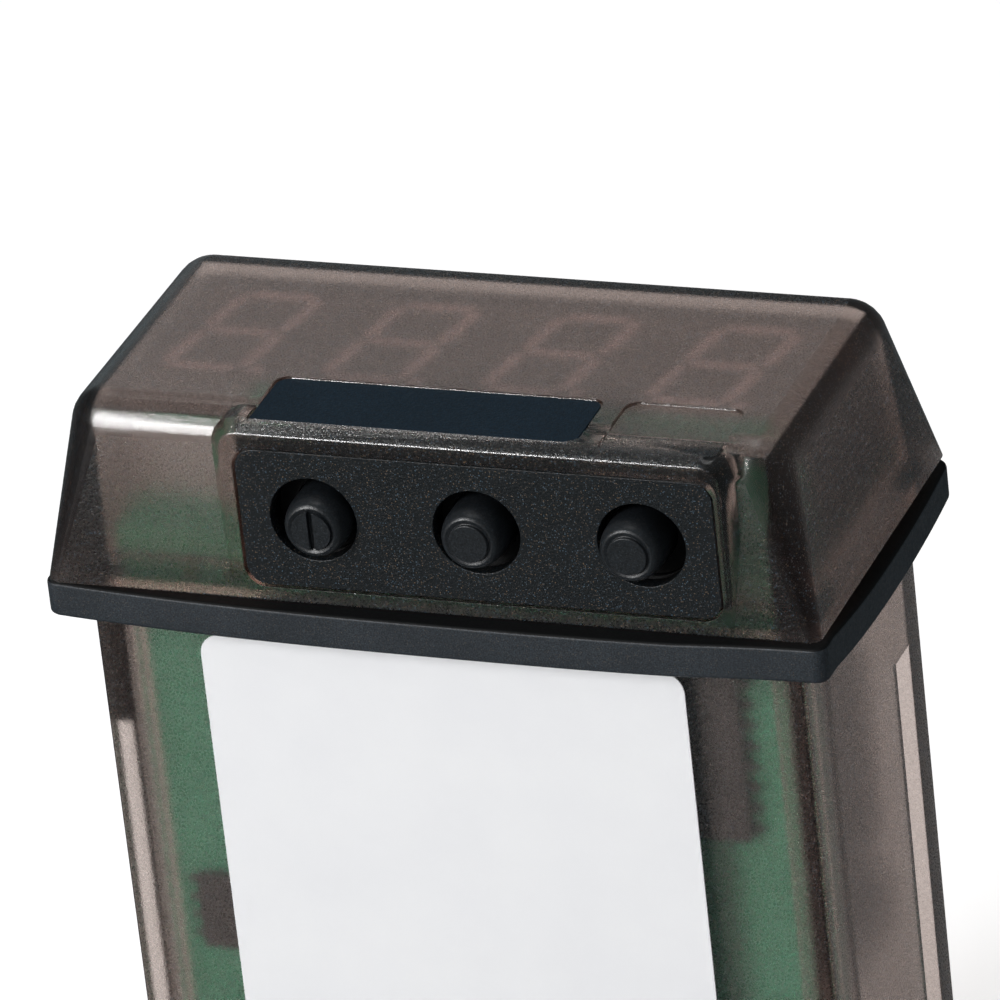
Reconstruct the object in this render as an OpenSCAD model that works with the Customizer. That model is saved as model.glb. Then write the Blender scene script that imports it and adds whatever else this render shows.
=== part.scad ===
// Digital panel meter in the small 1/32 size: four seven-segment digits, a three-button
// keypad on the front slope, and a one-piece smoked case that hides nothing.
// The display faces +Z, the digits run along +X, and the keypad faces -Y.
// Z = 0 is the back of the bezel, centred on the body; the panel lies below the gasket.

/* [Bezel] */
// Width of the bezel at its back
bezel_w = 48; // [46.8:0.2:54]
// Height of the bezel at its back
bezel_h = 24; // [23:0.2:28]
// How far the bezel stands in front of its back face
bezel_rise = 11.6; // [11.4:0.1:14]
// How far each narrow side leans in over the rise
side_lean = 2.0; // [1:0.1:2.3]
// How far the side above the digits leans in over the rise
top_lean = 2.0; // [1:0.1:2.3]
// How far the keypad side leans in over the rise
keypad_lean = 1.45; // [0.8:0.05:1.6]
// Radius along the front edges and the slanted corners
edge_r = 2.4; // [1:0.1:2.6]
// Radius of the corners at the bezel's back
base_r = 0.7; // [0.4:0.05:1.2]
// Thickness of the wall left and right of the keypad, at the front
bezel_wall = 1.5; // [1.1:0.05:1.7]
// Thickness of the front, which is the display window
window_t = 1.5; // [1:0.05:1.6]
// Thickness of the ledge behind the bezel, where it steps in to the body
ledge_t = 1.1; // [0.8:0.05:1.5]

/* [Keypad] */
// Distance from the bezel's left edge to the raised pad round the keypad
pad_left = 12.05; // [10:0.05:13]
// Distance from the bezel's right edge to the pad
pad_right = 5.15; // [4.6:0.05:6]
// How far the pad's rounded top edge falls from the front
pad_top_drop = 0.75; // [0.4:0.05:0.9]
// How far the pad's sides and top splay out towards the bezel
pad_splay = 0.65; // [0.3:0.05:0.9]
// Rim of the pad left of the keypad plate
plate_left = 0.9; // [0.7:0.05:1.2]
// Rim of the pad right of the keypad plate
plate_right = 0.6; // [0.5:0.05:1]
// Height of the keypad plate
plate_h = 8.8; // [8.2:0.05:9]
// Thickness of the keypad plate
plate_t = 1.0; // [0.6:0.05:1.1]
// Radius of the plate's corners
plate_r = 1.2; // [0.6:0.05:2]
// Gap between the plate and its recess, all round
plate_gap = 0.12; // [0.08:0.01:0.2]
// How far the plate lies below the pad's face
plate_sink = 0.1; // [0.05:0.01:0.2]
// Distance from the plate's ends to the outer holes
hole_margin = 4.55; // [4.2:0.05:5]
// Diameter of the holes in the plate
hole_d = 5.35; // [5.2:0.05:5.8]
// Wall from the pad's face to the keypad's inner face
keypad_wall = 2.3; // [2:0.05:2.5]

/* [Buttons] */
// How much closer together the buttons stand than their holes
button_inset = 0.4; // [0:0.02:0.42]
// Diameter of a button
button_d = 3.9; // [3.6:0.05:4.2]
// Diameter of the flat disc at a button's tip
button_tip_d = 2.4; // [1.8:0.05:2.6]
// Width and depth of the groove round that disc
button_ring = 0.25; // [0.15:0.01:0.35]
// Width and depth of the groove that marks the first button
button_mark = 0.35; // [0.2:0.05:0.5]
// How far a button stands out of the pad's face
button_out = 1.4; // [0.9:0.05:1.6]
// Height of a button's domed end
button_dome = 1.5; // [1.1:0.05:1.8]
// Diameter of the collar that keeps a button in
button_collar_d = 5.6; // [5.4:0.05:6]
// Thickness of that collar
button_collar_t = 0.5; // [0.4:0.05:0.6]
// Travel of a button
button_travel = 0.25; // [0.15:0.01:0.3]
// Gap round a button in the rim that guides it
button_gap = 0.1; // [0.06:0.01:0.15]
// Thickness of that rim, at the foot of the well behind the plate's hole
guide_t = 0.5; // [0.4:0.05:0.7]

/* [Switches] */
// Width and height of a tactile switch
switch_size = 6.0; // [5.6:0.05:6.2]
// Depth of a tactile switch
switch_t = 2.4; // [2.1:0.05:2.6]
// Thickness of the steel plate on a switch
switch_plate_t = 0.15; // [0.1:0.01:0.2]
// Diameter of a switch's plunger
plunger_d = 2.6; // [2:0.05:3]
// Running gap round a plunger
plunger_gap = 0.08; // [0.05:0.01:0.1]

/* [Body] */
// How far the bezel stands out past each narrow side of the body
flange_x = 1.9; // [1.5:0.05:2.2]
// How far the bezel stands out past each wide side of the body
flange_y = 1.95; // [1.5:0.05:2.2]
// Length of the body behind the bezel
body_l = 60; // [56:1:90]
// Thickness of the body's walls
body_wall = 1.5; // [1.2:0.05:1.7]
// Radius of the body's long corners
body_r = 0.35; // [0.2:0.05:0.8]
// Width of each clip groove in the narrow walls
groove_w = 2.4; // [1.6:0.05:3]
// Depth of each clip groove
groove_deep = 1.0; // [0.6:0.05:1.05]
// Wall between each clip groove and the body's edge
groove_edge = 2.3; // [1.8:0.05:3]
// Distance from the bezel's back to where the grooves begin
groove_start = 10.9; // [8:0.1:16]

/* [Gasket] */
// Thickness of the panel gasket
gasket_t = 2.2; // [1.5:0.1:3]
// Gap between the gasket and the body
gasket_gap = 0.2; // [0.1:0.05:0.4]
// How far the gasket's ends stand out past the bezel
gasket_out = 0.2; // [0:0.05:0.4]
// Radius of the gasket's outer corners
gasket_r = 0.8; // [0.5:0.1:1.5]

/* [Labels] */
// Width of the recess for the blank name plate in the front
name_w = 20.3; // [18:0.1:21]
// Height of that recess
name_h = 5.4; // [4:0.1:5.6]
// How far the recesses in the front begin from the keypad's face
recess_start = 0.7; // [0.5:0.05:1.2]
// Depth of the shallow recesses in the front
recess_deep = 0.25; // [0.15:0.01:0.35]
// Thickness of the name plate
name_t = 0.15; // [0.08:0.01:0.2]
// Width of the empty recess for a unit sign
unit_w = 7.2; // [5:0.1:7.4]
// Distance from the unit recess to the pad's right edge
unit_right = 0.2; // [0.1:0.05:0.9]
// Gap between the name plate's recess and the unit recess
unit_gap = 1.35; // [1:0.05:2]
// Distance from the body's left edge to the paper label
paper_left = 6.6; // [4:0.1:8]
// Distance from the body's right edge to the paper label
paper_right = 7.4; // [4:0.1:9]
// Length of the paper label
paper_l = 40; // [30:0.5:44]
// Radius of the paper label's corners
paper_r = 1.4; // [0.5:0.1:2]
// Distance from the bezel's back to the paper label
paper_start = 3.7; // [3:0.1:6]
// Thickness of the paper label
paper_t = 0.12; // [0.06:0.01:0.2]

/* [Display] */
// Margin between the display module and the ends of its board
module_margin = 0.2; // [0.1:0.05:0.6]
// Gap between the key board and the display module
module_foot_gap = 0.15; // [0.1:0.05:0.4]
// Gap between the display module and the case's wall above it
module_head_gap = 0.95; // [0.5:0.05:1.2]
// Gap between the display module and the window
module_gap = 0.2; // [0.1:0.05:0.4]
// Height of a digit
digit_h = 10.3; // [9:0.1:10.6]
// Width of a digit
digit_w = 5.7; // [5:0.1:6]
// Width of a segment
segment_w = 0.95; // [0.8:0.05:1.2]
// Depth of the light ports behind the segments
segment_deep = 0.6; // [0.4:0.05:1]
// How far the digits sit below the middle of the display module
digit_down = 0.9; // [0.5:0.05:1]
// Lean of the digits, in degrees
digit_lean = 10; // [0:1:12]

/* [Boards] */
// Thickness of the display board and the main board
board_t = 1.6; // [1.2:0.1:1.8]
// Thickness of the key board, which stands upright behind the switches
key_board_t = 1.2; // [0.8:0.1:1.2]
// How far the key board reaches past the first switch
key_board_end = 3; // [1:0.1:6]
// How far the key board stays below the display's face
key_board_drop = 0.6; // [0.4:0.1:2]
// Distance from the bezel's back to the front of the display board
board_top = 2.5; // [2.4:0.05:2.8]
// Gap between the boards' edges and the case
board_gap = 0.3; // [0.2:0.05:0.4]
// Space between the main board and the wide wall in front of it
board_front = 1.05; // [0.95:0.05:1.2]
// Thickness of the ribs that guide the main board
rib_t = 0.8; // [0.6:0.05:1]
// Height of those ribs
rib_h = 0.9; // [0.7:0.05:1.2]
// Distance between pins in a row
pin_pitch = 2.54; // [2.5:0.02:2.6]
// Diameter of the pins
pin_d = 0.5; // [0.4:0.05:0.6]
// Width and height of the header strips that join the boards
link_size = 2.5; // [2.3:0.05:2.6]
// Gap between the display's pins and the header strips
link_gap = 0.6; // [0.5:0.05:0.8]

/* [Components] */
// Width of the transformer
transformer_w = 17; // [15:0.1:18]
// Length of the transformer
transformer_l = 13; // [11:0.1:14]
// Room above the transformer
transformer_room = 1.8; // [1:0.1:3]
// Space between the transformer and the terminal block
transformer_back = 4; // [2:0.1:5]
// Diameter of a filter capacitor
capacitor_d = 8; // [6.3:0.1:8.4]
// Room above the filter capacitors
capacitor_room = 2.8; // [1.5:0.1:4]
// Width of a relay
relay_w = 10; // [9:0.1:10.4]
// Length of a relay
relay_l = 12.6; // [11:0.1:13]
// Room above the relays
relay_room = 4.2; // [2:0.1:5]
// Gap between each relay and the case's narrow wall
relay_side = 1.6; // [1:0.1:2]
// Distance from the bezel's back to the relays
relay_start = 9; // [8:0.1:10]
// Space between the relays, the capacitors and what is behind them
part_gap = 1.4; // [1:0.1:2]
// Width of the interface chip
interface_w = 5.6; // [3.9:0.1:6]
// Length of the interface chip
interface_l = 11; // [9:0.1:13]
// Distance from the main board's edge to the interface chip
interface_side = 2.9; // [2:0.1:4]
// Distance from the bezel's back to the interface chip
interface_start = 4.4; // [3:0.1:6]
// Width of the processor chip
processor_w = 7.5; // [5:0.1:8]
// Length of the processor chip
processor_l = 10; // [8:0.1:12]
// Distance from the bezel's back to the processor chip
processor_start = 5; // [4:0.1:7]
// Width of the small chips
small_w = 3.9; // [3:0.1:4.2]
// Length of the small chips
small_l = 4.9; // [4:0.1:5.2]
// Distance from one small chip to the next along the board
small_pitch = 6; // [5.5:0.1:8]

/* [Terminals] */
// Number of screw terminals
pole_count = 8; // [6:1:8]
// Gap between the ends of the terminal block and the body
block_gap = 0.6; // [0.4:0.05:0.8]
// Depth of the terminal block
block_l = 11.5; // [10.5:0.1:13]
// Thickness of the walls between the terminals
chamber_wall = 1.2; // [1:0.05:1.4]
// Distance from the block's foot to the middle of the wire entries
entry_up = 3.4; // [3.2:0.05:3.6]
// Distance from the block's head to the middle of the screws
screw_down = 4.45; // [4.2:0.05:4.7]
// Diameter of a clamp screw's head
screw_head_d = 3.3; // [2.8:0.05:3.4]
// Diameter of a clamp screw's shank
screw_d = 2.5; // [2:0.05:2.6]
// Diameter of the access holes over the screws
access_d = 3.7; // [3.5:0.05:3.8]
// Width of the wire entries in the rear cover
entry_w = 3.4; // [2.6:0.05:3.4]
// Height of the wire entries in the rear cover
entry_h = 3.4; // [2.6:0.05:3.6]

/* [Rear cover] */
// Thickness of the rear cover's plate
cover_t = 2.0; // [1.5:0.1:3]
// How far the rear cover's rim reaches into the body
cover_rim = 3.6; // [3.2:0.1:4]
// Thickness of that rim
cover_rim_t = 0.9; // [0.7:0.05:1]
// Gap between the rim and the body
cover_gap = 0.1; // [0.06:0.01:0.2]
// Width of the four snap catches
snap_w = 5; // [4:0.1:6]
// Height of a snap catch above the rim
snap_h = 0.8; // [0.5:0.05:0.9]

/* [Hidden] */

$fn = 48;
round_fn = 32;              // facets of the spheres and discs inside a hull
eps = 0.01;

// Bezel
keypad_y = -bezel_h / 2;    // the pad's outer face
inner_y = keypad_y + keypad_wall;
window_z = bezel_rise - window_t;
room_y = keypad_y + keypad_lean + bezel_wall;
function side_x(z) = bezel_w / 2 - side_lean * z / bezel_rise;
function top_y(z) = bezel_h / 2 - top_lean * z / bezel_rise;
function slope_y(z) = keypad_y + keypad_lean * z / bezel_rise;
function stretch(lean) = sqrt(1 + pow(lean / bezel_rise, 2));

// Body and boards
body_w = bezel_w - 2 * flange_x;
body_h = bezel_h - 2 * flange_y;
groove_y = body_h / 2 - groove_edge - groove_w / 2;
in_w = body_w - 2 * body_wall;
in_h = body_h - 2 * body_wall;
board_w = in_w - 2 * board_gap;
board_low = board_top - board_t;
main_y0 = -in_h / 2 + board_front;
main_y1 = main_y0 + board_t;
rear_z = -body_l;

// Keypad
pad_w = bezel_w - pad_left - pad_right;
pad_x = (pad_left - pad_right) / 2;
plate_w = pad_w - plate_left - plate_right;
plate_x = pad_x + (plate_left - plate_right) / 2;
hole_pitch = (plate_w - 2 * hole_margin) / 2;
button_pitch = hole_pitch - button_inset;
button_z = board_top + switch_size / 2;
hole_x = [for (i = [-1:1]) plate_x + i * hole_pitch];
button_x = [for (i = [-1:1]) plate_x + i * button_pitch];
plate_y = keypad_y + plate_sink;
plate_z = button_z - 0.1;   // the plate's middle, a touch below its holes
collar_y = inner_y + 0.05;
switch_y = collar_y + button_collar_t + button_travel + 0.1 + switch_plate_t;
stem_hole_d = button_d + 2 * button_gap;

// Front recesses, from the pad's rim up the front
recess_y0 = keypad_y + recess_start;
unit_x0 = pad_x + pad_w / 2 - unit_right - unit_w;
name_x0 = unit_x0 - unit_gap - name_w;
recess_r = 0.8;

// Display
module_top = window_z - module_gap;
module_w = board_w - 2 * module_margin;
key_board_y = switch_y + switch_t;
module_y0 = key_board_y + key_board_t + module_foot_gap;
module_y1 = in_h / 2 - module_head_gap;
module_h = module_y1 - module_y0;
module_y = (module_y0 + module_y1) / 2;
digit_pitch = (module_w - 0.2) / 4;
pin_rows = [-1, 1];
pin_count = 6;
pin_hole_d = 0.9;
pin_row_y = 5.08;

// Header strips between the boards
link_n = 4;
link_x = (pin_count - 1 + link_n) * pin_pitch / 2 + link_gap;

// Terminals
block_w = in_w - 2 * block_gap;
pole_pitch = block_w / pole_count;
chamber_w = pole_pitch - chamber_wall;
block_y0 = main_y1;
block_y1 = in_h / 2 - cover_rim_t - cover_gap - 0.1;
block_z0 = rear_z;
entry_y = block_y0 + entry_up;
screw_y = block_y1 - screw_down;
clamp_z = block_z0 + 3.3;
clamp_l = 4.2;
pole_x = [for (i = [0:pole_count - 1]) (i - (pole_count - 1) / 2) * pole_pitch];

// Components on the main board
board_room = in_h / 2 - main_y1;
transformer_h = board_room - transformer_room;
transformer_z = block_z0 + block_l + transformer_back + transformer_l / 2;
capacitor_h = board_room - capacitor_room;
capacitor_z = -relay_start - relay_l - part_gap - capacitor_d / 2;
relay_h = board_room - relay_room;
relay_x = in_w / 2 - relay_side - relay_w / 2;
capacitor_x = in_w / 2 - relay_side - 0.4 - capacitor_d / 2;
interface_x = board_w / 2 - interface_side - interface_w / 2;

// Snap catches, on the rim's wide sides
snap_x = in_w / 2 - snap_w / 2 - 3;
snap_z = rear_z + cover_rim - 1.7;
snap_l = 1.3;

// A plate with round corners, standing on z = 0
module round_plate(w, h, t, r) {
    linear_extrude(t) round_rect(w, h, r);
}

// A rectangle with round corners as true arcs
module round_rect(w, h, r) {
    square([w - 2 * r, h], center = true);
    square([w, h - 2 * r], center = true);
    for (sx = [-1, 1], sy = [-1, 1])
        translate([sx * (w / 2 - r), sy * (h / 2 - r)]) circle(r);
}

// Turns a shape drawn in X and Y to face -Y: its Y becomes Z and its front becomes the keypad side
module facing_keypad(y, z = 0) {
    translate([0, y, z]) rotate([90, 0, 0]) children();
}

// ---- Case ----

// The leaning block of the bezel, with round front edges and corners
module bezel_outside() {
    top_z = bezel_rise - edge_r;
    hull() {
        for (sx = [-1, 1]) {
            for (sy = [-1, 1])
                translate([sx * (bezel_w / 2 - base_r), sy * (bezel_h / 2 - base_r), 0])
                    cylinder(h = eps, r = base_r, $fn = round_fn);
            translate([sx * (side_x(top_z) - edge_r * stretch(side_lean)),
                top_y(top_z) - edge_r * stretch(top_lean), top_z])
                sphere(edge_r, $fn = round_fn);
            translate([sx * (side_x(top_z) - edge_r * stretch(side_lean)),
                slope_y(top_z) + edge_r * stretch(keypad_lean), top_z])
                sphere(edge_r, $fn = round_fn);
        }
    }
}

// The raised pad round the keypad: an upright face whose sides and top splay into the bezel
module keypad_pad() {
    face_top = bezel_rise - pad_top_drop;
    hull() {
        pad_slice(keypad_y, pad_w, face_top, plate_r);
        pad_slice(keypad_y + 0.75, pad_w + 2 * pad_splay, bezel_rise - eps, plate_r + pad_splay);
        pad_slice(inner_y, pad_w + 2 * pad_splay, bezel_rise - eps, plate_r + pad_splay);
    }
}

// A thin upright slice of the pad with round top corners and a square foot
module pad_slice(y, w, top, r) {
    facing_keypad(y + eps) linear_extrude(eps) translate([pad_x, 0]) {
        translate([-w / 2, 0]) square([w, top - r]);
        for (sx = [-1, 1])
            translate([sx * (w / 2 - r), top - r]) circle(r, $fn = round_fn);
        translate([-w / 2 + r, 0]) square([w - 2 * r, top]);
    }
}

// The room inside the bezel carries the body's upright walls on, and is wider on the keypad side
module bezel_room() {
    translate([-in_w / 2, room_y, ledge_t]) cube([in_w, in_h / 2 - room_y, window_z - ledge_t]);
}

// The wall behind the keypad stays flat inside
module keypad_back() {
    translate([pad_x - pad_w / 2 - pad_splay, keypad_y, -eps])
        cube([pad_w + 2 * pad_splay, keypad_wall, bezel_rise]);
}

// The room right behind that wall, as deep as the wall is flat
module keypad_room() {
    translate([pad_x - pad_w / 2 + 0.6, inner_y, ledge_t])
        cube([pad_w - 1.2, 1.2, window_z - ledge_t - eps]);
}

// Recesses in the front for the name plate and the unit sign
module front_recesses() {
    translate([0, 0, bezel_rise - recess_deep]) {
        translate([name_x0 + name_w / 2, recess_y0 + name_h / 2, 0]) name_outline(name_w, name_h, 1);
        // The unit recess runs out over the pad's edge
        translate([unit_x0, recess_y0 - 2, 0]) cube([unit_w, name_h + 2 - recess_r, 1]);
        translate([unit_x0 + recess_r, recess_y0 - 2, 0]) cube([unit_w - 2 * recess_r, name_h + 2, 1]);
        for (x = [unit_x0 + recess_r, unit_x0 + unit_w - recess_r])
            translate([x, recess_y0 + name_h - recess_r, 0]) cylinder(h = 1, r = recess_r);
    }
}

// Three round corners and one square one at the foot
module name_outline(w, h, t) {
    round_plate(w, h, t, recess_r);
    translate([-w / 2, -h / 2, 0]) cube([1, 1, t]);
}

// Clip grooves, on opposite corners of the narrow walls
module clip_grooves() {
    for (turn = [0, 180])
        rotate([0, 0, turn])
            translate([body_w / 2 - groove_deep, groove_y - groove_w / 2, rear_z - 1])
                cube([groove_deep + 1, groove_w, body_l + 1 - groove_start]);
}

// Windows in the wide walls that the rear cover snaps into
module snap_windows() {
    for (sx = [-1, 1], sy = [-1, 1])
        translate([sx * snap_x - snap_w / 2 - 0.15, sy * (body_h / 2 - body_wall / 2) - body_wall / 2 - eps, snap_z - 0.15])
            cube([snap_w + 0.3, body_wall + 2 * eps, snap_l + 0.3]);
}

// Two pairs of ribs that hold the main board by its long edges
module board_guides() {
    top = -4;
    low = rear_z + block_l + 2;
    for (sx = [-1, 1], y = [main_y0 - rib_t - 0.1, main_y1 + 0.1])
        translate([sx * (in_w / 2 - rib_h / 2 + eps) - rib_h / 2, y, low])
            cube([rib_h, rib_t, top - low]);
}

module case() color([0.36, 0.31, 0.3, 0.55]) {
    difference() {
        union() {
            bezel_outside();
            keypad_pad();
            translate([0, 0, rear_z]) round_plate(body_w, body_h, body_l + ledge_t, body_r);
        }
        difference() {
            bezel_room();
            keypad_back();
        }
        keypad_room();
        translate([-in_w / 2, -in_h / 2, rear_z - 1]) cube([in_w, in_h, body_l + 1 + ledge_t + eps]);
        // The recess that the keypad plate lies in
        facing_keypad(plate_y + plate_t, plate_z) translate([plate_x, 0])
            round_plate(plate_w + 2 * plate_gap, plate_h + 2 * plate_gap, plate_t + 1, plate_r + plate_gap);
        for (i = [0:2]) {
            facing_keypad(inner_y + 0.5, button_z) translate([button_x[i], 0])
                cylinder(h = keypad_wall + 1, d = stem_hole_d);
            facing_keypad(inner_y - guide_t, button_z) translate([hole_x[i], 0])
                cylinder(h = keypad_wall, d = hole_d);
        }
        front_recesses();
        clip_grooves();
        snap_windows();
    }
    board_guides();
}

module panel_gasket() color([0.09, 0.1, 0.11]) {
    inner = [body_w + 2 * gasket_gap, body_h + 2 * gasket_gap];
    translate([0, 0, -gasket_t]) difference() {
        round_plate(bezel_w + 2 * gasket_out, bezel_h, gasket_t, gasket_r);
        translate([-inner[0] / 2, -inner[1] / 2, -1]) cube([inner[0], inner[1], gasket_t + 2]);
    }
}

// ---- Keypad ----

module keypad_plate() color([0.06, 0.06, 0.06])
    difference() {
        facing_keypad(plate_y + plate_t, plate_z) translate([plate_x, 0])
            round_plate(plate_w, plate_h, plate_t, plate_r);
        for (x = hole_x)
            facing_keypad(plate_y + plate_t + 0.5, button_z) translate([x, 0])
                cylinder(h = plate_t + 1, d = hole_d);
    }

// Half of a button's outline, from its collar to its blunt domed tip
module button_outline() {
    r = button_d / 2;
    tip = button_tip_d / 2;
    out = collar_y - keypad_y + button_out;   // from the collar's face to the tip
    dome = out - button_dome;
    shoulder = tip + button_ring;             // the dome's inner edge
    square([button_collar_d / 2, button_collar_t]);
    translate([0, button_collar_t]) polygon(concat(
        [[0, 0], [r, 0], [r, dome]],
        [for (i = [1:6]) let (a = i * 90 / 6)
            [shoulder + (r - shoulder) * cos(a), dome + (button_dome - button_ring / 2) * sin(a)]],
        [[tip, out - button_ring], [tip, out], [0, out]]));
}

// An upright groove across the disc marks the first button
module button(n) color([0.07, 0.07, 0.07])
    facing_keypad(collar_y + button_collar_t, button_z) translate([button_x[n - 1], 0, 0]) difference() {
        rotate_extrude() button_outline();
        if (n == 1)
            translate([-button_mark / 2, -button_tip_d / 2,
                button_collar_t + collar_y - keypad_y + button_out - button_mark])
                cube([button_mark, button_tip_d, 2 * button_mark]);
    }

module switch_body(n) color([0.12, 0.12, 0.12])
    difference() {
        facing_keypad(switch_y + switch_t, button_z)
            translate([button_x[n - 1] - switch_size / 2, -switch_size / 2])
                cube([switch_size, switch_size, switch_t]);
        facing_keypad(switch_y + 1.2, button_z) translate([button_x[n - 1], 0])
            cylinder(h = 2, d = plunger_d + 2 * plunger_gap);
    }

// Reaches from the button's collar into the switch, short of the bottom by more than the travel
module plunger(n) color([0.5, 0.12, 0.1])
    facing_keypad(switch_y + 1.2 - button_travel - 0.15, button_z) translate([button_x[n - 1], 0])
        cylinder(h = switch_y + 1.2 - button_travel - 0.15 - collar_y - button_collar_t, d = plunger_d);

module switch_plates() color([0.75, 0.76, 0.78])
    for (x = button_x)
        difference() {
            union() {
                facing_keypad(switch_y, button_z)
                    translate([x - switch_size / 2, -switch_size / 2])
                        cube([switch_size, switch_size, switch_plate_t]);
                for (s = [-1, 1])
                    translate([x + s * (switch_size + switch_plate_t) / 2 - switch_plate_t / 2,
                        switch_y - switch_plate_t, board_top])
                        cube([switch_plate_t, switch_t * 0.6, switch_size * 0.7]);
            }
            facing_keypad(switch_y + 1, button_z) translate([x, 0])
                cylinder(h = 3, d = plunger_d + 1);
        }

// ---- Labels ----

module name_plate() color([0.09, 0.13, 0.24])
    translate([name_x0 + name_w / 2, recess_y0 + name_h / 2, bezel_rise - recess_deep])
        name_outline(name_w - 0.2, name_h - 0.2, name_t);

module rating_label() color([0.93, 0.93, 0.94])
    facing_keypad(-body_h / 2, -paper_start - paper_l / 2) translate([(paper_left - paper_right) / 2, 0])
        round_plate(body_w - paper_left - paper_right, paper_l, paper_t, paper_r);

// ---- Display ----

// One segment bar with pointed ends, lying along X
module segment(l, w) {
    polygon([[-l / 2, 0], [-l / 2 + w / 2, w / 2], [l / 2 - w / 2, w / 2],
        [l / 2, 0], [l / 2 - w / 2, -w / 2], [-l / 2 + w / 2, -w / 2]]);
}

// Seven segments and a point, sheared to lean with the digits
module digit(w) {
    column = (digit_w - segment_w) / 2;
    half = (digit_h - segment_w) / 2;
    gap = 0.25;
    multmatrix([[1, tan(digit_lean), 0, 0], [0, 1, 0, 0], [0, 0, 1, 0], [0, 0, 0, 1]]) {
        for (y = [-half, 0, half])
            translate([0, y]) segment(2 * column - gap, w);
        for (sx = [-1, 1], sy = [-1, 1])
            translate([sx * column, sy * half / 2]) rotate(90) segment(half - gap, w);
        translate([column + segment_w * 1.1, -half]) circle(segment_w * 0.5);
    }
}

module all_digits(w) {
    for (i = [-1.5:1:1.5])
        translate([i * digit_pitch, module_y - digit_down]) digit(w);
}

module display_housing() color([0.2, 0.17, 0.16])
    difference() {
        translate([-module_w / 2, module_y - module_h / 2, board_top])
            cube([module_w, module_h, module_top - board_top]);
        translate([0, 0, module_top - segment_deep]) linear_extrude(1) all_digits(segment_w);
        // The hollow underside between the legs of the moulding
        translate([-module_w / 2 + 2, module_y - module_h / 2 + 3, board_top - 1])
            cube([module_w - 4, module_h - 6, 2]);
    }

module digit_segments() color([0.62, 0.5, 0.46])
    translate([0, 0, module_top - segment_deep]) linear_extrude(segment_deep - 0.02)
        all_digits(segment_w - 0.06);

module pin_places() {
    for (s = pin_rows, i = [0:pin_count - 1])
        translate([(i - (pin_count - 1) / 2) * pin_pitch, module_y + s * pin_row_y, 0]) children();
}

module display_pins() color([0.8, 0.78, 0.7])
    pin_places() translate([0, 0, board_low - 1]) cylinder(h = board_t + 1, d = pin_d, $fn = 16);

module display_board() color([0.1, 0.38, 0.22])
    difference() {
        translate([-board_w / 2, -in_h / 2 + board_gap, board_low])
            cube([board_w, in_h - 2 * board_gap, board_t]);
        pin_places() translate([0, 0, board_low - 1])
            cylinder(h = board_t + 2, d = pin_hole_d, $fn = 16);
    }

// The upright board that carries the switches
module key_board() color([0.1, 0.38, 0.22]) {
    x0 = button_x[0] - switch_size / 2 - key_board_end;
    translate([x0, key_board_y, board_top])
        cube([board_w / 2 - x0, key_board_t, module_top - key_board_drop - board_top]);
}

// ---- Main board ----

// Two header strips stand in the corner between the boards and join them
module link_strips() {
    for (s = [-1, 1]) translate([s * link_x, 0, board_low - link_size / 2]) children();
}

module link_places() {
    link_strips()
        for (i = [0:link_n - 1]) translate([(i - (link_n - 1) / 2) * pin_pitch, 0, 0]) children();
}

module main_board() color([0.1, 0.38, 0.22])
    difference() {
        translate([-board_w / 2, main_y0, rear_z + 0.5])
            cube([board_w, board_t, board_low - rear_z - 0.5]);
        link_places() translate([0, main_y1 + 1, 0]) rotate([90, 0, 0])
            cylinder(h = board_t + 2, d = pin_hole_d, $fn = 16);
        for (x = pole_x)
            translate([x, main_y1 + 1, clamp_z + clamp_l / 2]) rotate([90, 0, 0])
                cylinder(h = board_t + 2, d = 1.3, $fn = 16);
    }

module link_header() color([0.08, 0.08, 0.09])
    difference() {
        link_strips() translate([-link_n * pin_pitch / 2, main_y1, -link_size / 2])
            cube([link_n * pin_pitch, link_size, link_size]);
        link_places() translate([0, main_y1 + 0.64 * link_size, 0]) rotate([90, 0, 0])
            cylinder(h = 3, d = pin_d + 0.1, $fn = 16);
    }

module link_pins() color([0.85, 0.7, 0.3])
    link_places() translate([0, main_y1 + 0.6 * link_size, 0]) rotate([90, 0, 0])
        cylinder(h = 0.6 * link_size + board_t + 1.2 * pin_d, d = pin_d, $fn = 16);

// A flat chip of w by l on a face of the main board, with a row of legs on both long sides
module chip(x, z, w, l, t, legs, front = true) {
    y = front ? main_y0 - t : main_y1;
    translate([x - w / 2, y, z - l]) cube([w, t, l]);
    pitch = l / legs;
    for (s = [-1, 1], i = [0:legs - 1])
        translate([x + s * (w / 2 + 0.35) - 0.4, front ? main_y0 - t * 0.45 : main_y1,
            z - l + (i + 0.5) * pitch - 0.2])
            cube([0.8, t * 0.45, 0.4]);
}

module interface_chip() color([0.08, 0.09, 0.1]) 
    chip(interface_x, -interface_start, interface_w, interface_l, 0.15 * interface_w, 8);

module processor_chip() color([0.08, 0.09, 0.1]) 
    chip(0, -processor_start, processor_w, processor_l, 0.19 * processor_w, 10, false);

module small_chips() color([0.1, 0.1, 0.11]) {
    for (p = [[0.3, 1], [0.3, 2], [-0.8, 3.5], [-0.5, 4.33], [0, 4]])
        chip(p[0] * board_w / 2, -p[1] * small_pitch, small_w, small_l, 0.22 * small_w, 4);
    // A row of plain parts
    for (i = [0:4])
        translate([(i - 1.3) * small_w * 0.8, main_y0 - small_w * 0.13, -3.1 * small_pitch])
            cube([small_w * 0.32, small_w * 0.13, small_l * 0.4]);
}

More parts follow.
